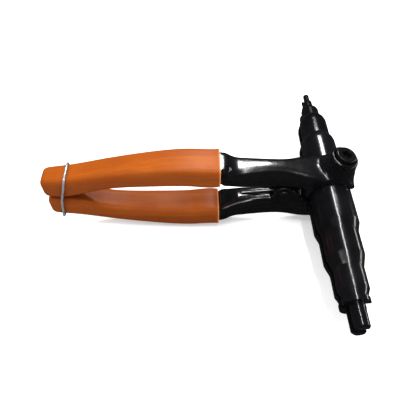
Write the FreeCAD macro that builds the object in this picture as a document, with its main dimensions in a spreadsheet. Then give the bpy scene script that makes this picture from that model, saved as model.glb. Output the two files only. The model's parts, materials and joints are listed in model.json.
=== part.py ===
import FreeCAD, Part
import math
import os
import Sketcher
from FreeCAD import Placement, Rotation, Vector

# Squeeze-to-spread pipe expander pliers with a double-ended stepped mandrel.
#
# Two forged levers lie one above the other and turn about one hinge pin.  Each carries
# half of the mandrel in a saddle at its head.  Squeezing the sleeved handles lifts the
# halves apart.  The tool is drawn squeezed shut, as its wire keeper holds it.
#
# Frame: origin on the mandrel axis in the middle of the levers, +X from the handles to
# the head, +Y along the mandrel to its small end, +Z up from the lower lever to the upper.
# Every lower piece is the upper piece turned half a turn about X, apart from the jaws,
# which are turned so that both keep their small ends at +Y.

X_AXIS, Y_AXIS, Z_AXIS = Vector(1, 0, 0), Vector(0, 1, 0), Vector(0, 0, 1)

# ---------------------------------------------------------------- driving dimensions
DRIVING = {
    # hinge and head
    "hinge_reach": 30.0,            # hinge pin to mandrel axis
    "spread_angle": 5.85,           # degrees each lever turns from jaws shut to spread
    "saddle_half_width": 12.0,
    "saddle_outer": 17.2,
    "saddle_gap": 1.6,              # saddle ends stop this far short of the jaw's flat
    "seat_clearance": 0.05,
    "boss_radius": 9.5,
    "boss_foot": 10.0,              # distances along the screw are from the mandrel axis
    "boss_top": 27.2,
    "boss_rounding": 2.2,
    "skirt_radius": 14.2,
    "skirt_top": 24.5,
    "nose_gap": 6.2,                # the saddle stops this far above the flat at the nose
    # jaw screw, an M8 socket head cap screw
    "screw_lean": 12.0,             # degrees towards the nose
    "screw_radius": 4.0,
    "screw_clearance": 0.05,
    "screw_point": 3.2,
    "head_radius": 6.5,
    "head_foot": 21.2,
    "head_height": 8.0,
    "head_rounding": 0.6,
    "hex_across_flats": 6.0,
    "hex_depth": 4.0,
    "counterbore_radius": 6.9,
    "counterbore_floor": 19.2,
    "lock_washer_radius": 6.3,
    "lock_washer_bore": 4.15,
    "lock_washer_gap": 0.05,
    # hinge
    "pin_radius": 3.0,
    "pin_clearance": 0.05,
    "pin_head_radius": 4.4,
    "pin_head_height": 1.4,
    "pin_head_rounding": 1.0,
    "pin_tail": 2.2,                # stands out past the last knuckle
    "clip_thickness": 0.7,
    "clip_radius": 4.8,
    "clip_groove_radius": 2.3,
    "clip_mouth": 3.8,
    "knuckle_radius": 7.5,
    "knuckle_gap": 0.6,             # round the knuckles of the other lever
    "web_height": 12.0,
    "cheek_length": 13.5,
    "cheek_rise": 1.0,              # how far the cheek passes the middle plane
    "cheek_swing": 5.5,             # room for the upper lever's cheek as the jaws close
    "hinge_half_width": 7.9,
    "fork_inner": 4.8,              # inner face of the lower lever's knuckles
    "tongue_outer": 4.2,            # outer face of the upper lever's knuckles
    "tongue_inner": 2.2,            # half the slot for the return spring
    "hinge_washer_radius": 6.4,
    "hinge_washer_thickness": 0.5,
    "spring_wire": 1.1,
    "spring_radius": 4.4,           # mean radius of the coil
    "spring_pitch": 1.15,
    "spring_turns": 2.5,
    "spring_leg": 28.0,             # hinge pin to the tips of the legs
    "spring_slot_top": 8.2,
    "spring_tip_gap": 0.25,
    # sleeves
    "sleeve_wall": 1.7,
    "sleeve_clearance": 0.05,
    "sleeve_end_rounding": 4.4,
    # wire keeper
    "keeper_wire": 1.6,
    "keeper_half_width": 10.0,      # to the middle of the wire
    "keeper_half_height": 20.2,
    "keeper_corner": 3.4,
    "keeper_reach": 178.0,          # mandrel axis to the middle of the loop
    "keeper_lean": 14.0,            # degrees towards the nose
}

# Steps of the mandrel: radius, and the stretch of the axis it is plain over.  Cones join
# the steps of the big side; a tangent round ends each step of the small side.
BIG_STEPS = [(13.6, 0.0, 35.7), (11.7, 41.7, 58.3), (9.3, 66.2, 79.8), (7.5, 84.0, 85.2),
             (8.2, 85.2, 88.0), (4.6, 88.0, 101.2)]
BIG_END, BIG_END_RADIUS = 102.5, 3.4
SMALL_STEPS = [(12.3, 13.0, 34.0), (10.1, 41.3, 56.0), (6.65, 64.7, 71.0),
               (3.45, 75.6, 81.6), (2.3, 84.5, 90.3)]
SMALL_TIP = 91.5

# Cross-sections of the upper sleeve: distance from the mandrel axis, half width, lowest,
# highest, corner radius.  The handle inside is one sleeve wall smaller.
SLEEVE_STATIONS = [(74.0, 12.0, 13.1, 28.3, 4.2), (92.0, 11.6, 13.1, 29.2, 4.2),
                   (112.0, 11.0, 12.9, 28.6, 4.3), (132.0, 10.4, 11.7, 26.0, 4.4),
                   (150.0, 9.8, 9.0, 22.9, 4.5), (165.0, 9.2, 4.2, 20.0, 4.6),
                   (176.0, 8.9, 1.2, 18.3, 4.8), (190.5, 7.8, 1.8, 16.9, 4.8)]
HANDLE_END = 184.0
# Cross-sections of the upper lever's bare arm, from the sleeve to the head.
ARM_STATIONS = [(72.0, 11.2, 11.8, 26.4, 4.4), (69.5, 10.9, 11.3, 25.9, 4.6),
                (65.0, 9.8, 9.6, 23.9, 4.7), (59.0, 8.9, 7.8, 23.4, 4.6),
                (51.0, 7.7, 6.3, 23.9, 4.4), (42.0, 6.9, 5.4, 24.0, 4.3),
                (34.0, 6.9, 5.4, 23.6, 4.3), (27.0, 8.1, 6.2, 22.9, 4.5),
                (20.0, 10.2, 8.0, 22.2, 4.7), (13.0, 11.8, 9.0, 21.4, 4.8),
                (4.0, 11.8, 9.0, 20.4, 4.8), (-2.0, 11.4, 9.0, 19.4, 4.8)]
STATION_PARTS = ("reach", "half_width", "low", "high", "corner")

doc = FreeCAD.newDocument("pipe_expander_pliers")
sheet = doc.addObject("Spreadsheet::Sheet", "Dimensions")


def fill_sheet():
    """Write every driving dimension, step and station to a named cell."""
    cells = dict(DRIVING)
    tables = (("big_step", BIG_STEPS, ("radius", "start", "finish")),
              ("small_step", SMALL_STEPS, ("radius", "start", "finish")),
              ("sleeve", SLEEVE_STATIONS, STATION_PARTS),
              ("arm", ARM_STATIONS, STATION_PARTS))
    for prefix, table, parts in tables:
        for number, values in enumerate(table, start=1):
            for part, value in zip(parts, values):
                cells["%s_%d_%s" % (prefix, number, part)] = value
    for row, (alias, value) in enumerate(cells.items(), start=1):
        sheet.set("A%d" % row, alias.replace("_", " "))
        sheet.set("B%d" % row, str(value))
        sheet.setAlias("B%d" % row, alias)
    doc.recompute()


fill_sheet()


def size(alias):
    """A driving dimension as a number."""
    return float(sheet.get(alias))


def bind(thing, prop, formula):
    """Bind a property to the sheet: each $name in the formula is a cell."""
    thing.setExpression(prop, formula.replace("$", "Dimensions."))


JAW_AXIS = Vector(size("hinge_reach") * (math.cos(math.radians(size("spread_angle"))) - 1), 0,
                  size("hinge_reach") * math.sin(math.radians(size("spread_angle"))))
JAW_X = "$hinge_reach * (cos($spread_angle * 1 deg) - 1)"
JAW_Z = "$hinge_reach * sin($spread_angle * 1 deg)"
SPREAD = Rotation(Y_AXIS, -size("spread_angle"))
LEAN = Rotation(Y_AXIS, size("screw_lean"))
UPSIDE_DOWN = Placement(Vector(), Rotation(X_AXIS, 180))
BACK_TO_FRONT = Placement(Vector(), Rotation(Y_AXIS, 180))


# ---------------------------------------------------------------- sketches and features
def new_body(label):
    body = doc.addObject("PartDesign::Body", label)
    body.Label = label
    return body


def new_sketch(body, name, role):
    """A sketch on one of the body's own origin planes."""
    sketch = body.newObject("Sketcher::SketchObject", name)
    base = [plane for plane in body.Origin.OriginFeatures if plane.Role == role][0]
    sketch.AttachmentSupport = [(base, "")]
    sketch.MapMode = "FlatFace"
    return sketch


def constrain(sketch, formula, *terms):
    """Add a constraint, bound to the sheet when it has a formula."""
    index = sketch.addConstraint(Sketcher.Constraint(*terms))
    if formula:
        bind(sketch, "Constraints[%d]" % index, formula)


def add_rounded_box(sketch, values, formulas):
    """A rounded rectangle about the vertical: half width, lowest, highest, corner."""
    half_width, low, high, corner = values
    inner, bottom, top = half_width - corner, low + corner, high - corner
    sides = [((-inner, low), (inner, low)), ((half_width, bottom), (half_width, top)),
             ((inner, high), (-inner, high)), ((-half_width, top), (-half_width, bottom))]
    for start, end in sides:
        sketch.addGeometry(Part.LineSegment(Vector(*start, 0), Vector(*end, 0)), False)
    centres = [(inner, bottom), (inner, top), (-inner, top), (-inner, bottom)]
    for quarter, centre in enumerate(centres):
        circle = Part.Circle(Vector(*centre, 0), Z_AXIS, corner)
        turn = (quarter - 1) * math.pi / 2
        sketch.addGeometry(Part.ArcOfCircle(circle, turn, turn + math.pi / 2), False)
    for quarter in range(4):
        constrain(sketch, None, "Tangent", quarter, 2, 4 + quarter, 1)
        constrain(sketch, None, "Tangent", 4 + quarter, 2, (quarter + 1) % 4, 1)
        constrain(sketch, None, ("Horizontal", "Vertical")[quarter % 2], quarter)
    for arc in (5, 6, 7):
        constrain(sketch, None, "Equal", 4, arc)
    constrain(sketch, formulas[3], "Radius", 4, corner)
    constrain(sketch, formulas[0], "DistanceX", -1, 1, 1, 1, half_width)
    constrain(sketch, formulas[0], "DistanceX", 3, 1, -1, 1, half_width)
    constrain(sketch, formulas[1], "DistanceY", -1, 1, 0, 1, low)
    constrain(sketch, formulas[2], "DistanceY", -1, 1, 2, 1, high)


def section(body, prefix, number, table, inset=()):
    """One cross-section of an arm, sleeve or handle, at its distance from the axis."""
    reach, half_width, low, high, corner = table[number - 1]
    sketch = new_sketch(body, "%s_%s_section_%d" % (body.Label, prefix, number), "YZ_Plane")
    cell = "$%s_%d_" % (prefix, number)
    wall = sum(size(alias) for alias in inset)
    taken = " + ".join(["0"] + ["$" + alias for alias in inset])
    values = [half_width - wall, low + wall, high - wall, corner - wall / 2]
    formulas = [cell + "half_width - (%s)" % taken, cell + "low + %s" % taken,
                cell + "high - (%s)" % taken, cell + "corner - (%s) / 2" % taken]
    add_rounded_box(sketch, values, formulas)
    sketch.AttachmentOffset = Placement(Vector(0, 0, -reach), Rotation())
    bind(sketch, "AttachmentOffset.Base.z", "-1 * %sreach" % cell)
    return sketch


def sleeve_sections(body, inset=()):
    return [section(body, "sleeve", number, SLEEVE_STATIONS, inset)
            for number in range(1, len(SLEEVE_STATIONS) + 1)]


def handle_sections(body, inset):
    """Sections of the handle: as the sleeve's, but stopping short of its end."""
    sections = sleeve_sections(body, inset)
    sections[-1].setExpression("AttachmentOffset.Base.z", None)
    sections[-1].AttachmentOffset = Placement(Vector(0, 0, -HANDLE_END), Rotation())
    return sections


def loft(body, kind, name, sections):
    feature = body.newObject("PartDesign::" + kind, name)
    feature.Profile = sections[0]
    feature.Sections = sections[1:]
    feature.Ruled = False
    doc.recompute()
    return feature


# ---------------------------------------------------------------- Part primitives
def cylinder(name, radius_formula, length_formula):
    item = doc.addObject("Part::Cylinder", name)
    bind(item, "Radius", radius_formula)
    bind(item, "Height", length_formula)
    return item


def hinge_disc(name, radius_formula, start_formula, length_formula):
    """A disc about the hinge axis, from a distance along +Y."""
    item = cylinder(name, radius_formula, length_formula)
    item.Placement = Placement(Vector(), Rotation(X_AXIS, -90))
    bind(item, "Placement.Base.x", "-1 * $hinge_reach")
    bind(item, "Placement.Base.y", start_formula)
    return item


def hinge_barrel(name, radius_formula, half_formula):
    """A disc about the hinge axis, with its middle at Y = 0."""
    return hinge_disc(name, radius_formula, "-1 * (%s)" % half_formula, "2 * (%s)" % half_formula)


def jaw_barrel(name, radius_formula, half_formula):
    """A disc about the spread upper jaw's axis, with its middle at Y = 0."""
    item = hinge_barrel(name, radius_formula, half_formula)
    bind(item, "Placement.Base.x", JAW_X)
    bind(item, "Placement.Base.z", JAW_Z)
    return item


def on_screw(item, distance_formula):
    """Stand an item on the upper screw's axis, at a distance from the jaw's axis."""
    item.Placement = Placement(Vector(), LEAN)
    lean = "$screw_lean * 1 deg"
    bind(item, "Placement.Base.x", "%s + (%s) * sin(%s)" % (JAW_X, distance_formula, lean))
    bind(item, "Placement.Base.z", "%s + (%s) * cos(%s)" % (JAW_Z, distance_formula, lean))
    return item


def screw_disc(name, radius_formula, start_formula, length_formula):
    return on_screw(cylinder(name, radius_formula, length_formula), start_formula)


def box(name, low, high):
    """A box between two corners."""
    item = doc.addObject("Part::Box", name)
    item.Length, item.Width, item.Height = [b - a for a, b in zip(low, high)]
    item.Placement = Placement(Vector(*low), Rotation())
    return item


def fuse(name, items):
    item = doc.addObject("Part::MultiFuse", name)
    item.Shapes = items
    return item


def cut(name, base, tools):
    item = doc.addObject("Part::Cut", name)
    item.Base = base
    item.Tool = fuse(name + "_tools", tools) if len(tools) > 1 else tools[0]
    return item


def rounded(name, item, radius_name):
    """Round the far rim of a cylinder."""
    doc.recompute()
    axis = item.Placement.Rotation.multVec(Z_AXIS)
    heights = [edge.CenterOfMass.dot(axis) for edge in item.Shape.Edges]
    rim = heights.index(max(heights)) + 1
    feature = doc.addObject("Part::Fillet", name)
    feature.Base = item
    feature.Edges = [(rim, size(radius_name), size(radius_name))]
    return feature


def finished(item, side="upper"):
    """Name a finished piece; lower ones are the upper ones turned about X."""
    item.Label = item.Name
    if side == "lower":
        item.Placement = UPSIDE_DOWN
    doc.recompute()
    return item


# ---------------------------------------------------------------- levers
def forged_bar():
    """The bar both levers are forged from, in the upper lever's place."""
    inset = ("sleeve_wall", "sleeve_clearance")
    handle = new_body("handle_bar")
    loft(handle, "AdditiveLoft", "handle_loft", handle_sections(handle, inset))
    neck = new_body("neck_bar")
    loft(neck, "AdditiveLoft", "neck_loft",
         [section(neck, "sleeve", 1, SLEEVE_STATIONS, inset), section(neck, "arm", 1, ARM_STATIONS)])
    arm = new_body("arm_bar")
    loft(arm, "AdditiveLoft", "arm_loft",
         [section(arm, "arm", number, ARM_STATIONS) for number in range(1, len(ARM_STATIONS) + 1)])
    return [handle, neck, arm]


def knuckles(side, half):
    """The hinge barrel and the web that joins it to the arm."""
    barrel = hinge_barrel(side + "_barrel", "$knuckle_radius", half)
    web = doc.addObject("Part::Box", side + "_web")
    bind(web, "Length", "2 * $knuckle_radius")
    bind(web, "Width", "2 * " + half)
    bind(web, "Height", "$web_height")
    bind(web, "Placement.Base.x", "-1 * $hinge_reach - $knuckle_radius")
    bind(web, "Placement.Base.y", "-1 * " + half)
    return [barrel, web]


def cheek(side, half):
    """Fills the corner between the hinge barrel and the saddle."""
    block = doc.addObject("Part::Box", side + "_cheek")
    bind(block, "Length", "$cheek_length")
    bind(block, "Width", "2 * " + half)
    bind(block, "Height", "$web_height + $cheek_rise")
    bind(block, "Placement.Base.x", "-1 * $hinge_reach")
    bind(block, "Placement.Base.y", "-1 * " + half)
    bind(block, "Placement.Base.z", "-1 * $cheek_rise")
    return block


def boss_skirt(side):
    """Flares the foot of the screw boss into the saddle and arm."""
    skirt = doc.addObject("Part::Cone", side + "_boss_skirt")
    bind(skirt, "Radius1", "$skirt_radius")
    bind(skirt, "Radius2", "$boss_radius - 0.3")
    bind(skirt, "Height", "$skirt_top - $boss_foot")
    return on_screw(skirt, "$boss_foot")


def spring_slot(side):
    """The slot both the coil and its legs lie in."""
    low = -size("knuckle_radius") - 1
    slot = box(side + "_spring_slot", (-size("hinge_reach") - size("spring_leg") - 2, -1, low),
               (-size("hinge_reach") + size("knuckle_radius") + 1, 1, 0))
    bind(slot, "Placement.Base.y", "-1 * $tongue_inner")
    bind(slot, "Width", "2 * $tongue_inner")
    bind(slot, "Height", "$spring_slot_top + $knuckle_radius + 1")
    return slot


def hinge_cutters(side):
    """Room for the other lever's knuckles, the pin and the return spring."""
    room = "$knuckle_radius + $knuckle_gap"
    pin_hole = hinge_barrel(side + "_pin_hole", "$pin_radius + $pin_clearance",
                            "$hinge_half_width + 2")
    if side == "lower":
        cheek_room = doc.addObject("Part::Box", "lower_cheek_room")
        bind(cheek_room, "Length", "$cheek_length + $knuckle_gap")
        bind(cheek_room, "Width", "2 * $fork_inner")
        bind(cheek_room, "Height", "$cheek_swing + 2 * $cheek_rise")
        bind(cheek_room, "Placement.Base.x", "-1 * $hinge_reach")
        bind(cheek_room, "Placement.Base.y", "-1 * $fork_inner")
        bind(cheek_room, "Placement.Base.z", "-2 * $cheek_rise")
        return [hinge_barrel("lower_tongue_room", room, "$fork_inner"), pin_hole,
                spring_slot(side), cheek_room]
    fork_room = cut("upper_fork_room",
                    hinge_barrel("upper_fork_room_outside", room, "$hinge_half_width + 7"),
                    [hinge_barrel("upper_tongue_kept", room + " + 1", "$tongue_outer")])
    return [fork_room, pin_hole, spring_slot(side)]


def head_cutters(side):
    """The jaw's seat, the open side of the saddle and the stepped hole for the screw."""
    seat = jaw_barrel(side + "_jaw_seat", "$big_step_1_radius + $seat_clearance", "30")
    below = box(side + "_below_saddle", (-19, -20, -40), (30, 20, size("saddle_gap")))
    below.Placement = Placement(JAW_AXIS, SPREAD).multiply(below.Placement)
    nose = box(side + "_beyond_saddle", (0, -20, -40), (30, 20, size("nose_gap")))
    nose.Placement = Placement(JAW_AXIS, SPREAD).multiply(nose.Placement)
    hole = screw_disc(side + "_screw_hole", "$screw_radius + $screw_clearance", "0", "40")
    counterbore = screw_disc(side + "_counterbore", "$counterbore_radius",
                             "$counterbore_floor", "30")
    return [seat, below, nose, hole, counterbore]


def lever(side, bar):
    """One forged lever: handle, arm, hinge knuckles, saddle and screw boss."""
    half = "$tongue_outer" if side == "upper" else "$hinge_half_width"
    saddle = jaw_barrel(side + "_saddle", "$saddle_outer", "$saddle_half_width")
    boss = rounded(side + "_boss", screw_disc(side + "_boss_stock", "$boss_radius", "$boss_foot",
                                              "$boss_top - $boss_foot"), "boss_rounding")
    blank = fuse(side + "_blank", bar + knuckles(side, half)
                 + [cheek(side, half), saddle, boss_skirt(side), boss])
    return finished(cut(side + "_lever", blank, hinge_cutters(side) + head_cutters(side)), side)


# ---------------------------------------------------------------- sleeves
def sleeve(side):
    """A dipped handle sleeve, open at the arm and closed at the far end."""
    body = new_body(side + "_grip")
    outside = loft(body, "AdditiveLoft", side + "_sleeve_loft", sleeve_sections(body))
    end = body.Shape.BoundBox.XMin
    rims = ["Edge%d" % number for number, edge in enumerate(body.Shape.Edges, start=1)
            if edge.BoundBox.XMax < end + 0.01]
    rounding = body.newObject("PartDesign::Fillet", side + "_sleeve_end")
    rounding.Base = (outside, rims)
    bind(rounding, "Radius", "$sleeve_end_rounding")
    doc.recompute()
    solid = body.Shape.Volume
    loft(body, "SubtractiveLoft", side + "_sleeve_hollow",
         handle_sections(body, ("sleeve_wall",)))
    if body.Shape.Volume > 0.8 * solid:
        raise RuntimeError("the sleeve is not hollow")
    return finished(body, side)


# ---------------------------------------------------------------- jaws and their screws
def add_turned_profile(sketch):
    """Half of the mandrel's outline; the sketch's vertical is the axis of turning."""
    corners = [(0, -BIG_END), (BIG_END_RADIUS, -BIG_END)]
    plain, rounds = {}, set()
    for number in range(len(BIG_STEPS), 0, -1):
        radius, start, finish = BIG_STEPS[number - 1]
        plain[len(corners)] = "$big_step_%d_radius" % number
        corners += [(radius, -finish), (radius, -start)]
    corners[-1] = (BIG_STEPS[0][0], SMALL_STEPS[0][1])
    for number, (radius, start, finish) in enumerate(SMALL_STEPS, start=1):
        plain[len(corners)] = "$small_step_%d_radius" % number
        corners += [(radius, start), (radius, finish)]
        rounds.add(len(corners) - 1)
    corners += [(1.1, SMALL_TIP), (0, SMALL_TIP)]
    # a step that starts where the last one ends shares its shoulder
    count = len(corners)
    for side in range(count):
        start = Vector(*corners[side], 0)
        finish = Vector(*corners[(side + 1) % count], 0)
        if side in rounds:
            drop, run = start.x - finish.x, finish.y - start.y
            radius = (drop ** 2 + run ** 2) / (2 * drop)
            circle = Part.Circle(Vector(start.x - radius, start.y, 0), Z_AXIS, radius)
            turn = math.atan2(run, radius - drop)
            sketch.addGeometry(Part.ArcOfCircle(circle, 0, turn), False)
        else:
            sketch.addGeometry(Part.LineSegment(start, finish), False)
    for side in range(count):
        constrain(sketch, None, "Coincident", side, 2, (side + 1) % count, 1)
    for side, cell in plain.items():
        constrain(sketch, None, "Vertical", side)
        constrain(sketch, cell, "DistanceX", -1, 1, side, 1, corners[side][0])


def jaw(side):
    """Half of the mandrel, split along its axis, with the blind hole for its screw."""
    body = new_body(side + "_jaw_half")
    sketch = new_sketch(body, side + "_jaw_profile", "XY_Plane")
    add_turned_profile(sketch)
    turning = body.newObject("PartDesign::Revolution", side + "_jaw_turning")
    turning.Profile = sketch
    turning.ReferenceAxis = (sketch, ["V_Axis"])
    turning.Angle = 180.0
    doc.recompute()
    if body.Shape.BoundBox.ZMin < -1:
        turning.Reversed = True
        doc.recompute()
    hole = screw_disc(side + "_thread_hole", "$screw_radius + $screw_clearance",
                      "$screw_point - 0.2", "30")
    body.Placement = Placement(JAW_AXIS, SPREAD)
    if side == "lower":
        body.Placement = Placement(Vector(JAW_AXIS.x, 0, -JAW_AXIS.z),
                                   SPREAD.inverted().multiply(BACK_TO_FRONT.Rotation))
        upright, hole = hole, doc.addObject("Part::Compound", "lower_thread_hole_below")
        hole.Links = [upright]
        hole.Placement = UPSIDE_DOWN
    item = cut(side + "_jaw", body, [hole])
    return finished(item)


def jaw_screw(side):
    """Socket head cap screw with its drive hexagon sunk in the head."""
    shank = screw_disc(side + "_shank", "$screw_radius", "$screw_point",
                       "$head_foot - $screw_point + 1")
    head = rounded(side + "_head", screw_disc(side + "_head_stock", "$head_radius", "$head_foot",
                                              "$head_height"), "head_rounding")
    hexagon = doc.addObject("Part::Prism", side + "_hexagon")
    hexagon.Polygon = 6
    bind(hexagon, "Circumradius", "$hex_across_flats / sqrt(3)")
    bind(hexagon, "Height", "$hex_depth + 1")
    on_screw(hexagon, "$head_foot + $head_height - $hex_depth")
    return finished(cut(side + "_jaw_screw", fuse(side + "_screw_blank", [shank, head]),
                        [hexagon]), side)


def lock_washer(side):
    """Split spring washer at the foot of the counterbore."""
    ring = screw_disc(side + "_washer_ring", "$lock_washer_radius",
                      "$counterbore_floor + $lock_washer_gap",
                      "$head_foot - $counterbore_floor - 2 * $lock_washer_gap")
    bore = screw_disc(side + "_washer_bore", "$lock_washer_bore", "$counterbore_floor - 1", "6")
    middle = JAW_AXIS + LEAN.multVec(Z_AXIS) * (size("counterbore_floor") + size("head_foot")) / 2
    split = box(side + "_washer_split", (2, -0.5, -4), (9, 0.5, 4))
    split.Placement = Placement(middle, LEAN.multiply(Rotation(X_AXIS, 25))).multiply(
        split.Placement)
    return finished(cut(side + "_lock_washer", ring, [bore, split]), side)


# ---------------------------------------------------------------- hinge pieces
def hinge_pin():
    """Headed pin with a groove for its retaining clip."""
    head = cylinder("pin_head_stock", "$pin_head_radius", "$pin_head_height")
    head.Placement = Placement(Vector(), Rotation(X_AXIS, 90))
    bind(head, "Placement.Base.x", "-1 * $hinge_reach")
    bind(head, "Placement.Base.y", "-1 * $hinge_half_width - $pin_clearance")
    shank = hinge_disc("pin_shank_stock", "$pin_radius", "-1 * $hinge_half_width - 1",
                       "2 * $hinge_half_width + 1 + $pin_tail")
    groove = cut("pin_groove",
                 hinge_disc("pin_groove_ring", "$pin_radius + 1", "$hinge_half_width + 0.2",
                            "$clip_thickness + 0.2"),
                 [hinge_disc("pin_groove_core", "$clip_groove_radius",
                             "$hinge_half_width + 0.1", "$clip_thickness + 0.4")])
    blank = fuse("pin_blank", [rounded("pin_head", head, "pin_head_rounding"), shank])
    return finished(cut("hinge_pin", blank, [groove]))


def hinge_clip():
    """Open retaining ring in the pin's groove."""
    disc = hinge_disc("clip_disc", "$clip_radius", "$hinge_half_width + 0.3", "$clip_thickness")
    bore = hinge_disc("clip_bore", "$clip_groove_radius + $pin_clearance", "$hinge_half_width",
                      "$clip_thickness + 1")
    mouth = box("clip_mouth_cut", (-size("hinge_reach"), 0, -9), (0, 20, 0))
    bind(mouth, "Length", "$clip_mouth")
    bind(mouth, "Placement.Base.x", "-1 * $hinge_reach - $clip_mouth / 2")
    return finished(cut("hinge_clip", disc, [bore, mouth]))


def hinge_washer(name, way):
    """Thrust washer between the knuckles of the two levers, at +Y or -Y."""
    middle = "%d * ($fork_inner + $tongue_outer) / 2" % way
    disc = hinge_disc(name + "_disc", "$hinge_washer_radius",
                      middle + " - $hinge_washer_thickness / 2", "$hinge_washer_thickness")
    bore = hinge_disc(name + "_bore", "$pin_radius + $pin_clearance", middle + " - 1", "2")
    return finished(cut(name, disc, [bore]))


def spring_coil(half_length):
    """The coil about the hinge pin, from its top at -Y to its foot at +Y."""
    helix = Part.makeHelix(size("spring_pitch"), 2 * half_length, size("spring_radius"))
    path = helix.Edges[0]
    start, way = path.valueAt(path.FirstParameter), path.tangentAt(path.FirstParameter)
    section_wire = Part.Wire([Part.makeCircle(size("spring_wire") / 2, start, way)])
    item = doc.addObject("Part::Feature", "spring_coil")
    item.Shape = Part.Wire([path]).makePipeShell([section_wire], True, True)
    on_side = Rotation(Y_AXIS, -90).multiply(Rotation(X_AXIS, -90))
    item.Placement = Placement(Vector(-size("hinge_reach"), -half_length, 0), on_side)
    return item


def spring_leg(name, along, way):
    """A straight leg from the coil's end to the floor of the arm's slot."""
    half_wire, overlap = size("spring_wire") / 2, 0.2
    root = Vector(-size("hinge_reach"), along, way * size("spring_radius"))
    tip = Vector(root.x - size("spring_leg"), along,
                 way * (size("spring_slot_top") - half_wire - size("spring_tip_gap")))
    start = root - (tip - root).normalize() * overlap
    leg = doc.addObject("Part::Cylinder", name)
    bind(leg, "Radius", "$spring_wire / 2 - 0.05")
    leg.Height = (tip - start).Length
    leg.Placement = Placement(start, Rotation(Z_AXIS, tip - start))
    return leg


def return_spring():
    """Torsion spring on the hinge pin; both legs reach back under the arms."""
    half_length = size("spring_turns") * size("spring_pitch") / 2
    return finished(fuse("return_spring", [spring_coil(half_length),
                                           spring_leg("spring_top_leg", -half_length, 1),
                                           spring_leg("spring_foot_leg", half_length, -1)]))


# ---------------------------------------------------------------- wire keeper
def keeper_ring():
    """Closed wire loop slipped over both handles, leaning towards the nose."""
    body = new_body("keeper_ring")
    path = new_sketch(body, "keeper_path", "YZ_Plane")
    half_height = size("keeper_half_height")
    add_rounded_box(path, (size("keeper_half_width"), -half_height, half_height,
                           size("keeper_corner")),
                    ("$keeper_half_width", "-1 * $keeper_half_height", "$keeper_half_height",
                     "$keeper_corner"))
    ring = new_sketch(body, "keeper_wire_section", "XY_Plane")
    ring.addGeometry(Part.Circle(Vector(0, size("keeper_half_width"), 0), Z_AXIS,
                                 size("keeper_wire") / 2), False)
    constrain(ring, "$keeper_wire / 2", "Radius", 0, size("keeper_wire") / 2)
    constrain(ring, "$keeper_half_width", "DistanceY", -1, 1, 0, 3, size("keeper_half_width"))
    constrain(ring, None, "PointOnObject", 0, 3, -2)
    pipe = body.newObject("PartDesign::AdditivePipe", "keeper_wire_loop")
    pipe.Profile = ring
    pipe.Spine = path
    doc.recompute()
    body.Placement = Placement(Vector(-size("keeper_reach"), 0, 0),
                               Rotation(Y_AXIS, size("keeper_lean")))
    return finished(body)


# ---------------------------------------------------------------- build, check and write
def build():
    bar = forged_bar()
    pieces = [hinge_pin(), hinge_clip(), hinge_washer("front_hinge_washer", -1),
              hinge_washer("rear_hinge_washer", 1), return_spring(), keeper_ring()]
    for side in ("upper", "lower"):
        pieces += [lever(side, bar), sleeve(side), jaw(side), jaw_screw(side),
                   lock_washer(side)]
    return pieces


def check(pieces):
    doc.recompute()
    for thing in doc.Objects:
        if "Invalid" in thing.State or "Error" in thing.State:
            raise RuntimeError("%s: %s" % (thing.Name, thing.State))
    for piece in pieces:
        shape = piece.Shape
        if shape.isNull() or not shape.isValid() or len(shape.Solids) != 1:
            raise RuntimeError("%s is not one valid solid" % piece.Label)


def write(pieces):
    os.makedirs("parts", exist_ok=True)
    for piece in pieces:
        piece.Shape.exportStep("parts/%s.step" % piece.Label)
        box_ = piece.Shape.BoundBox
        print("%-20s %9.1f mm3  X %7.2f %7.2f  Y %7.2f %7.2f  Z %7.2f %7.2f" % (
            piece.Label, piece.Shape.Volume, box_.XMin, box_.XMax, box_.YMin, box_.YMax,
            box_.ZMin, box_.ZMax))


solids = build()
check(solids)
write(solids)
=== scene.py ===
"""Pipe expander pliers: materials, smoothed forgings, floor, light and camera.

Everything is in metres in the CAD frame: origin on the mandrel axis between the levers,
+X towards the head, +Y along the mandrel to its small end, +Z up.
"""
import json
import math

import bmesh
import bpy
from mathutils import Matrix, Vector


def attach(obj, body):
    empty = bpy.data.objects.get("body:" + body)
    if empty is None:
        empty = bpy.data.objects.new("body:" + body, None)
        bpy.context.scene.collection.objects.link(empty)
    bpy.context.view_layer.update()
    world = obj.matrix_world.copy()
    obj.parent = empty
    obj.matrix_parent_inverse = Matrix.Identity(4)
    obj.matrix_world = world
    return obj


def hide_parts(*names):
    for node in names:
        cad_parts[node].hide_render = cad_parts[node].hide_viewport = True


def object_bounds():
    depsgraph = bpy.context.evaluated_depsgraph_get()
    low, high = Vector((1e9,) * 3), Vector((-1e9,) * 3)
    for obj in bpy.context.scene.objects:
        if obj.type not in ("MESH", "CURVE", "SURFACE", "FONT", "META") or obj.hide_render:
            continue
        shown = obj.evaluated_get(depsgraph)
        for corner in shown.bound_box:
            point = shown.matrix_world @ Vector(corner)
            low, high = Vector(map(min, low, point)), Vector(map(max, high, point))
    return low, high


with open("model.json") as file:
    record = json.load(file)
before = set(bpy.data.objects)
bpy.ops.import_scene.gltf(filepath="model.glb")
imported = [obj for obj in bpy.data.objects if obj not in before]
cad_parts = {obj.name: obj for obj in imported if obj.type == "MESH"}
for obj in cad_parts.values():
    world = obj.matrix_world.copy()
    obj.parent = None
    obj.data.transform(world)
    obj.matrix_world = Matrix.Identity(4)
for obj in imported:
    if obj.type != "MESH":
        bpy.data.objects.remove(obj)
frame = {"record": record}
CAD_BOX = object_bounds()
MOUTH_X = -0.0735                   # just outside the mouths of the sleeves
X_WAY, Y_WAY = (1.0, 0.0, 0.0), (0.0, 1.0, 0.0)
WHITE = (1.0, 1.0, 1.0, 1.0)


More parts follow.
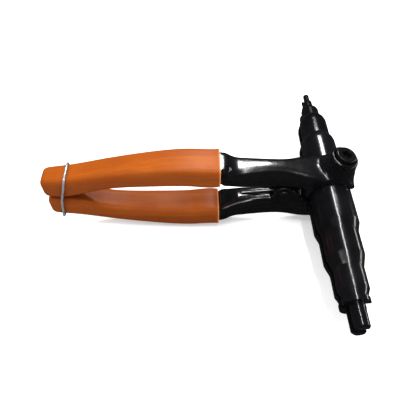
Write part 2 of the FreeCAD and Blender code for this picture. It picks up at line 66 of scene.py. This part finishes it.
# ------------------------------------------------------------------ node helpers
MIX_FACTOR, MIX_FIRST, MIX_SECOND, MIX_RESULT = 0, 6, 7, 2      # colour sockets of Mix
EDGE_RADIUS = 0.0008
EDGE_FLAT, EDGE_SHARP = 0.985, 0.90     # how far true and bevelled normals agree


class Shader:
    """Builds one material's node tree on object coordinates."""

    def __init__(self, name):
        self.material = bpy.data.materials.new(name)
        self.material.use_nodes = True
        self.tree = self.material.node_tree
        self.surface = self.tree.nodes["Principled BSDF"]
        self.place = self.tree.nodes.new("ShaderNodeTexCoord").outputs["Object"]

    def node(self, kind, settings=None, **inputs):
        made = self.tree.nodes.new("ShaderNode" + kind)
        for name, value in (settings or {}).items():
            setattr(made, name, value)
        for name, value in inputs.items():
            self.feed(made.inputs[name.replace("_", " ")], value)
        return made

    def feed(self, socket, value):
        """Link a socket to another, or set its plain value."""
        if isinstance(value, bpy.types.NodeSocket):
            self.tree.links.new(value, socket)
        else:
            socket.default_value = value

    def set(self, **inputs):
        for name, value in inputs.items():
            self.feed(self.surface.inputs[name.replace("_", " ")], value)

    def stretched(self, scale):
        """Object coordinates scaled along each axis."""
        made = self.node("Mapping", Vector=self.place)
        made.inputs["Scale"].default_value = scale
        return made.outputs["Vector"]

    def noise(self, scale, detail=3.0, rough=0.5, where=None):
        made = self.node("TexNoise", Vector=where or self.place, Scale=scale, Detail=detail,
                         Roughness=rough)
        return made.outputs["Fac"]

    def ramp(self, value, low, high, out_low=0.0, out_high=1.0):
        """Map a value from low..high to out_low..out_high."""
        made = self.node("MapRange", {"clamp": True}, Value=value)
        for name, number in (("From Min", low), ("From Max", high), ("To Min", out_low),
                             ("To Max", out_high)):
            made.inputs[name].default_value = number
        return made.outputs["Result"]

    def mix(self, factor, first, second):
        """Mix two colours."""
        made = self.tree.nodes.new("ShaderNodeMix")
        made.data_type = "RGBA"
        self.feed(made.inputs[MIX_FACTOR], factor)
        self.feed(made.inputs[MIX_FIRST], first)
        self.feed(made.inputs[MIX_SECOND], second)
        return made.outputs[MIX_RESULT]

    def bump(self, height, distance, strength=1.0, normal=None):
        made = self.node("Bump", Height=height, Distance=distance, Strength=strength)
        if normal is not None:
            self.feed(made.inputs["Normal"], normal)
        return made.outputs["Normal"]

    def axis(self, vector, name):
        """One component of a vector."""
        return self.node("SeparateXYZ", Vector=vector).outputs[name]

    def edges(self):
        """Bright where the surface bends outwards."""
        bevel = self.node("Bevel", {"samples": 4}, Radius=EDGE_RADIUS).outputs["Normal"]
        true_normal = self.node("NewGeometry").outputs["Normal"]
        made = self.node("VectorMath", {"operation": "DOT_PRODUCT"})
        self.feed(made.inputs[0], bevel)
        self.feed(made.inputs[1], true_normal)
        return self.ramp(made.outputs["Value"], EDGE_FLAT, EDGE_SHARP)

    def times(self, first, second):
        made = self.node("Math", {"operation": "MULTIPLY"})
        self.feed(made.inputs[0], first)
        self.feed(made.inputs[1], second)
        return made.outputs[0]


# ------------------------------------------------------------------ materials
BLACK_CLEAN = (0.0022, 0.0022, 0.0027, 1)
BLACK_SMUDGED = (0.0050, 0.0050, 0.0060, 1)
BLACK_WORN = (0.10, 0.10, 0.105, 1)

VINYL_FRESH = (0.30, 0.064, 0.0035, 1)
VINYL_HANDLED = (0.24, 0.047, 0.002, 1)
# painted sheen: pale streaks along the sleeves
VINYL_SHEEN_STREAK = (0.40, 0.100, 0.008, 1)
VINYL_FRONT_SHADE = (0.15, 0.026, 0.001, 1)       # painted shade on faces turned to -Y
VINYL_HOLLOW_SHADE = (0.11, 0.019, 0.001, 1)      # painted shade in hollows, most of all between the sleeves
VINYL_SPECK = (0.14, 0.036, 0.012, 1)
# painted highlight: the pale band at the mouths of the sleeves
VINYL_MOUTH_HIGHLIGHT = (0.62, 0.24, 0.09, 1)
HOLLOW_REACH = 0.03
# where the painted highlight at the mouths starts and reaches full strength
MOUTH_HIGHLIGHT_START, MOUTH_HIGHLIGHT_FULL = MOUTH_X - 0.0016, MOUTH_X - 0.0008
TARNISH_DARKENS = 0.55


def gloss_black(name, roughness, dapple, wear):
    """Gloss black finish on steel: dappled skin, faint smudges and a few worn edges."""
    shader = Shader(name)
    smudge = shader.noise(scale=45.0, detail=4.0, rough=0.6)
    worn = shader.noise(scale=500.0, detail=5.0, rough=0.7)
    chipped = shader.times(shader.edges(), shader.ramp(worn, 0.56, 0.70, out_high=wear))
    tone = shader.mix(shader.ramp(smudge, 0.3, 0.7), BLACK_CLEAN, BLACK_SMUDGED)
    dappled = shader.bump(shader.noise(scale=330.0, detail=2.0), distance=0.00012,
                          strength=dapple)
    grained = shader.bump(shader.noise(scale=1300.0, detail=2.0), distance=0.00002,
                          strength=0.4, normal=dappled)
    shader.set(Base_Color=shader.mix(chipped, tone, BLACK_WORN), Metallic=0.0,
               Roughness=shader.ramp(smudge, 0.25, 0.75, roughness - 0.03, roughness + 0.05),
               Normal=grained)
    return shader.material


def bare_metal(name, colour, roughness, metallic):
    """Drawn metal with fine lines and light tarnish."""
    shader = Shader(name)
    lines = shader.noise(scale=900.0, detail=3.0, rough=0.6,
                         where=shader.stretched((1.0, 1.0, 0.2)))
    tarnish = shader.noise(scale=220.0, detail=4.0, rough=0.6)
    dark = tuple(TARNISH_DARKENS * part for part in colour) + (1,)
    tone = shader.mix(shader.ramp(tarnish, 0.45, 0.75, out_high=0.6), colour + (1,), dark)
    shader.set(Base_Color=tone, Metallic=metallic,
               Roughness=shader.ramp(lines, 0.3, 0.7, roughness - 0.06, roughness + 0.08),
               Normal=shader.bump(lines, distance=0.00003, strength=0.4))
    return shader.material


def vinyl_skin(shader, handled):
    """The vinyl's colour: darker where handled, with pale streaks along the sleeve as painted
    sheen.
    """
    tone = shader.mix(shader.ramp(handled, 0.35, 0.75), VINYL_FRESH, VINYL_HANDLED)
    # painted sheen: pale streaks stretched along the sleeve
    sheen_streak = shader.noise(scale=150.0, detail=3.0, rough=0.6,
                          where=shader.stretched((0.10, 1.0, 1.0)))
    return shader.mix(shader.ramp(sheen_streak, 0.48, 0.68, out_high=0.5), tone, VINYL_SHEEN_STREAK)


def vinyl_shading(shader, colour):
    """Shading painted into the colour: darker on faces turned to -Y and in hollows."""
    normal = shader.node("NewGeometry").outputs["Normal"]
    front = shader.ramp(shader.axis(normal, "Y"), -0.25, -0.95, out_high=0.55)
    shaded = shader.mix(front, colour, VINYL_FRONT_SHADE)
    openness = shader.node("AmbientOcclusion", {"samples": 8}, Distance=HOLLOW_REACH)
    gap = shader.ramp(openness.outputs["AO"], 0.35, 0.95, out_low=0.6, out_high=0.0)
    return shader.mix(gap, shaded, VINYL_HOLLOW_SHADE)


def dipped_vinyl():
    """Orange dipped sleeve: painted shading, dark specks, a painted highlight as a pale band at
    the mouth, soft sag marks.
    """
    shader = Shader("orange_vinyl")
    handled = shader.noise(scale=38.0, detail=4.0, rough=0.6)
    shaded = vinyl_shading(shader, vinyl_skin(shader, handled))
    specks = shader.ramp(shader.noise(scale=520.0, detail=5.0, rough=0.7), 0.68, 0.76,
                         out_high=0.5)
    # painted highlight: a pale band at the mouth of each sleeve
    mouth_highlight = shader.ramp(shader.axis(shader.place, "X"), MOUTH_HIGHLIGHT_START, MOUTH_HIGHLIGHT_FULL, out_high=0.75)
    sag = shader.noise(scale=110.0, detail=2.0, rough=0.5,
                       where=shader.stretched((0.35, 1.0, 1.0)))
    sagging = shader.bump(sag, distance=0.0004, strength=0.5)
    fine = shader.noise(scale=1500.0, detail=2.0, rough=0.5)
    shader.set(Base_Color=shader.mix(mouth_highlight, shader.mix(specks, shaded, VINYL_SPECK), VINYL_MOUTH_HIGHLIGHT),
               Metallic=0.0, Specular_IOR_Level=0.09,
               Roughness=shader.ramp(handled, 0.3, 0.7, out_low=0.38, out_high=0.48),
               Normal=shader.bump(fine, distance=0.00004, strength=0.5, normal=sagging))
    return shader.material


MATERIALS = {
    "black_forging": gloss_black("forged_gloss_black", roughness=0.20, dapple=0.45, wear=0.30),
    "black_jaw": gloss_black("turned_gloss_black", roughness=0.15, dapple=0.12, wear=0.30),
    "black_screw": gloss_black("black_oxide", roughness=0.26, dapple=0.25, wear=0.55),
    "orange_sleeve": dipped_vinyl(),
    "spring_steel": bare_metal("spring_steel", (0.42, 0.42, 0.43), roughness=0.30, metallic=0.7),
    "brass_washer": bare_metal("bronze", (0.62, 0.38, 0.16), roughness=0.34, metallic=0.7),
    "keeper_wire": bare_metal("plated_wire", (0.46, 0.46, 0.48), roughness=0.22, metallic=0.6),
}
SLOT_OF = {part["node"]: part["material_slot"] for part in frame["record"]["subparts"]}


def cad(node):
    return bpy.data.objects[node]


def dress(obj, slot):
    obj.data.materials.clear()
    obj.data.materials.append(MATERIALS[slot])


def add_object(name, data):
    obj = bpy.data.objects.new(name, data)
    bpy.context.scene.collection.objects.link(obj)
    return obj


for name, slot in SLOT_OF.items():
    for material_slot in cad(name).material_slots:
        material_slot.material = MATERIALS[slot]


# ------------------------------------------------------------------ forged levers
# Places are on the upper lever; the lower one is the same turned half a turn about X.
VOXEL = 0.0006
SMOOTHING = 0.5
EASING_PASSES, BLENDING_PASSES = 3, 34
ARM_UNDERSIDE = 0.0065
SLOT_HALF_WIDTH, SLOT_TOP, SLOT_NOSE = 0.0030, 0.012, -0.018    # round the spring slot
JAW_CENTRE = Vector((-0.00016, 0.0, 0.00306))
SEAT_RADIUS, SEAT_HALF_WIDTH = 0.0150, 0.014
SCREW_WAY = Vector((0.2079, 0.0, 0.9781))       # leans 12 degrees to the nose
BOSS_RADIUS, BOSS_MARGIN, BOSS_FOOT = 0.0095, 0.0006, 0.0150
DIMPLE = Vector((-0.0690, -0.0052))             # X and Y
DIMPLE_RADIUS, DIMPLE_DEPTH, DIMPLE_ABOVE = 0.0019, 0.0009, 0.018


def voxel_copy(node):
    """A closed, evenly meshed copy of a CAD node."""
    copy = add_object(node + "_stock", cad(node).data.copy())
    remesh = copy.modifiers.new("even", "REMESH")
    remesh.mode = "VOXEL"
    remesh.voxel_size = VOXEL
    depsgraph = bpy.context.evaluated_depsgraph_get()
    mesh = bpy.data.meshes.new_from_object(copy.evaluated_get(depsgraph))
    bpy.data.objects.remove(copy)
    return mesh


def upright(place, way):
    """A point of either lever as it would lie on the upper one."""
    return Vector((place.x, place.y * way, place.z * way))


def on_outer_skin(place):
    """On the arm's outside or the boss's flanks, clear of the hinge, seat and screw."""
    if place.x < MOUTH_X or place.z < ARM_UNDERSIDE:
        return False
    if abs(place.y) < SLOT_HALF_WIDTH and place.z < SLOT_TOP and place.x < SLOT_NOSE:
        return False
    offset = place - JAW_CENTRE
    if Vector((offset.x, offset.z)).length < SEAT_RADIUS and abs(place.y) < SEAT_HALF_WIDTH:
        return False
    along = offset.dot(SCREW_WAY)
    off_axis = (offset - along * SCREW_WAY).length
    return off_axis > BOSS_RADIUS + BOSS_MARGIN or along < BOSS_FOOT


def smooth(work, verts, passes):
    for _ in range(passes):
        bmesh.ops.smooth_vert(work, verts=verts, factor=SMOOTHING, use_axis_x=True,
                              use_axis_y=True, use_axis_z=True)


def press_dimple(skin, way):
    """A shallow dimple on the arm's outside, beside the sleeve's mouth."""
    for vert in skin:
        place = upright(vert.co, way)
        reach = (Vector((place.x, place.y)) - DIMPLE).length / DIMPLE_RADIUS
        if place.z > DIMPLE_ABOVE and reach < 1.0:
            vert.co.z -= way * DIMPLE_DEPTH * (1.0 - reach ** 4)


def forging(node, body, way):
    """The lever with forged blends: all edges eased, the arm's outside well rounded."""
    mesh = voxel_copy(node)
    work = bmesh.new()
    work.from_mesh(mesh)
    skin = [vert for vert in work.verts if on_outer_skin(upright(vert.co, way))]
    smooth(work, work.verts, EASING_PASSES)
    smooth(work, skin, BLENDING_PASSES)
    press_dimple(skin, way)
    work.to_mesh(mesh)
    work.free()
    obj = add_object(node + "_forging", mesh)
    dress(obj, "black_forging")
    for face in mesh.polygons:
        face.use_smooth = True
    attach(obj, body)
    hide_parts(node)


forging("upper_lever", "upper_half", 1.0)
forging("lower_lever", "lower_half", -1.0)


# ------------------------------------------------------------------ wire keeper
KEEPER_MIDDLE = Vector((-0.178, 0.0, 0.0))
KEEPER_HALF_WIDTH, KEEPER_HALF_HEIGHT = 0.0100, 0.0202      # to the middle of the wire
KEEPER_CORNER = 0.0062
KEEPER_WIRE_RADIUS = 0.0008
KEEPER_LEAN = 14.0                  # degrees towards the nose
KEEPER_KINK = 0.0012
CORNER_STEPS = 8
KINK_LEVELS = (-0.5, -0.1, 0.3, 0.6)        # parts of a side's half length


def keeper_corner(quarter, middle_y, middle_z):
    """Points round one corner of the loop."""
    points = []
    for step in range(CORNER_STEPS + 1):
        turn = math.radians(90.0 * (quarter - 1 + step / CORNER_STEPS))
        points.append((0.0, middle_y + KEEPER_CORNER * math.cos(turn),
                       middle_z + KEEPER_CORNER * math.sin(turn)))
    return points


def keeper_side(side):
    """Points up or down one long side, kinked towards the handle ends at its middle."""
    run = KEEPER_HALF_HEIGHT - KEEPER_CORNER
    return [(-KEEPER_KINK * (1.0 - abs(level)), side * KEEPER_HALF_WIDTH, side * level * run)
            for level in KINK_LEVELS]


def keeper_route():
    """The loop before it leans: big soft corners and a slight kink in each long side."""
    points = []
    for quarter, (side, up) in enumerate([(1, -1), (1, 1), (-1, 1), (-1, -1)]):
        points += keeper_corner(quarter, side * (KEEPER_HALF_WIDTH - KEEPER_CORNER),
                                up * (KEEPER_HALF_HEIGHT - KEEPER_CORNER))
        if side == -up:
            points += keeper_side(side)
    return points


def keeper_wire():
    """The loop as hand-bent wire."""
    curve = bpy.data.curves.new("keeper_wire", "CURVE")
    curve.dimensions = "3D"
    curve.bevel_depth = KEEPER_WIRE_RADIUS
    curve.bevel_resolution = 6
    curve.use_fill_caps = False
    points = keeper_route()
    spline = curve.splines.new("POLY")
    spline.points.add(len(points) - 1)
    lean = Matrix.Rotation(math.radians(KEEPER_LEAN), 4, "Y")
    for point, place in zip(spline.points, points):
        point.co = tuple(Matrix.Translation(KEEPER_MIDDLE) @ lean @ Vector(place)) + (1.0,)
    spline.use_cyclic_u = True
    spline.use_smooth = True
    obj = add_object("keeper_wire", curve)
    dress(obj, "keeper_wire")
    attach(obj, "keeper")
    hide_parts("keeper_ring")


keeper_wire()


# ------------------------------------------------------------------ floor, light, camera
FLOOR_SIZE = 12.0
FLOOR_GAP = 0.0005                  # below the lower screw head
FLOOR_PALE, FLOOR_PALER = (0.86, 0.86, 0.86, 1), (0.90, 0.90, 0.90, 1)
FLOOR_GLOW = 0.30                   # to the camera only
FLOOR_REFLECTED = (0.02, 0.02, 0.02, 1)
WORLD_LIGHT, WORLD_REFLECTED, WORLD_BACKDROP = 0.8, 0.012, 0.25

CAMERA_PLACE = Vector((-0.08732, -0.18084, 0.22439))
CAMERA_RIGHT = Vector((0.9995, -0.0272, 0.0099))
CAMERA_UP = Vector((0.0163, 0.8103, 0.5859))
CAMERA_BACK = Vector((-0.024, -0.5855, 0.8104))
CAMERA_SENSOR, CAMERA_LENS = 36.0, 36.0     # millimetres

PLIERS_MIDDLE = (-0.06, 0.0, 0.0)
SLEEVES_MIDDLE = (-0.13, 0.0, 0.0)


def area_light(name, place, target, along, size, power):
    """A soft rectangle facing the target: size is its width, then its length along a way."""
    light = bpy.data.lights.new(name, "AREA")
    light.shape = "RECTANGLE"
    light.size, light.size_y = size
    light.energy = power
    obj = add_object(name, light)
    facing = (Vector(target) - Vector(place)).normalized()
    across = Vector(along).cross(facing).normalized()
    turn = Matrix((across, facing.cross(across) * -1.0, facing * -1.0)).transposed()
    obj.matrix_world = Matrix.Translation(place) @ turn.to_4x4()
    return obj


def floor_material():
    """Pale and glowing faintly to the camera, near black to reflections."""
    shader = Shader("pale_floor")
    path = shader.node("LightPath")
    grain = shader.noise(scale=3.0, detail=3.0)
    shader.set(Base_Color=shader.mix(grain, FLOOR_PALE, FLOOR_PALER), Roughness=0.9,
               Specular_IOR_Level=0.1, Emission_Color=WHITE,
               Emission_Strength=shader.ramp(path.outputs["Is Camera Ray"], 0.0, 1.0,
                                             out_high=FLOOR_GLOW))
    dark = shader.node("BsdfDiffuse", Color=FLOOR_REFLECTED)
    either = shader.node("MixShader")
    shader.feed(either.inputs[0], path.outputs["Is Glossy Ray"])
    shader.feed(either.inputs[1], shader.surface.outputs[0])
    shader.feed(either.inputs[2], dark.outputs[0])
    shader.feed(shader.tree.nodes["Material Output"].inputs["Surface"], either.outputs[0])
    return shader.material


def plain_floor():
    """A pale seamless floor just under the lower screw head."""
    level = CAD_BOX[0][2] - FLOOR_GAP
    bpy.ops.mesh.primitive_plane_add(size=FLOOR_SIZE, location=(0, 0, level))
    plane = bpy.context.object
    plane.name = "floor"
    plane.data.materials.append(floor_material())
    return plane


def soft_world():
    """Even white light, dark to reflections so that black gloss stays black."""
    world = bpy.data.worlds.new("studio")
    world.use_nodes = True
    tree = world.node_tree
    background = tree.nodes["Background"]
    background.inputs["Color"].default_value = WHITE
    path = tree.nodes.new("ShaderNodeLightPath")
    level = tree.nodes.new("ShaderNodeMapRange")
    tree.links.new(path.outputs["Is Glossy Ray"], level.inputs["Value"])
    level.inputs["To Min"].default_value = WORLD_LIGHT
    level.inputs["To Max"].default_value = WORLD_REFLECTED
    backdrop = tree.nodes.new("ShaderNodeMath")
    backdrop.operation = "MULTIPLY_ADD"
    tree.links.new(path.outputs["Is Camera Ray"], backdrop.inputs[0])
    backdrop.inputs[1].default_value = WORLD_BACKDROP
    tree.links.new(level.outputs["Result"], backdrop.inputs[2])
    tree.links.new(backdrop.outputs[0], background.inputs["Strength"])
    bpy.context.scene.world = world


def camera():
    """Above the handles on their -Y side, with a 53 degree field of view."""
    data = bpy.data.cameras.new("camera")
    data.sensor_width = CAMERA_SENSOR
    data.lens = CAMERA_LENS
    obj = add_object("camera", data)
    turn = Matrix((CAMERA_RIGHT, CAMERA_UP, CAMERA_BACK)).transposed()
    obj.matrix_world = Matrix.Translation(CAMERA_PLACE) @ turn.to_4x4()
    bpy.context.scene.camera = obj


floor = plain_floor()
soft_world()
lights = [
    area_light("mandrel_strip", (-0.06, 0.12, 0.90), PLIERS_MIDDLE, Y_WAY,
               size=(0.026, 1.4), power=9.0),
    area_light("nose_strip", (1.00, 0.00, 0.10), PLIERS_MIDDLE, Y_WAY,
               size=(0.03, 1.1), power=3.5),
    area_light("sleeve_strip", (-0.34, -0.26, 0.85), SLEEVES_MIDDLE, X_WAY,
               size=(0.05, 0.9), power=2.5),
    area_light("arm_softbox", (0.055, 0.60, 0.70), PLIERS_MIDDLE, X_WAY,
               size=(0.05, 0.15), power=4.5),
]
camera()
bpy.context.scene.view_settings.view_transform = "Standard"
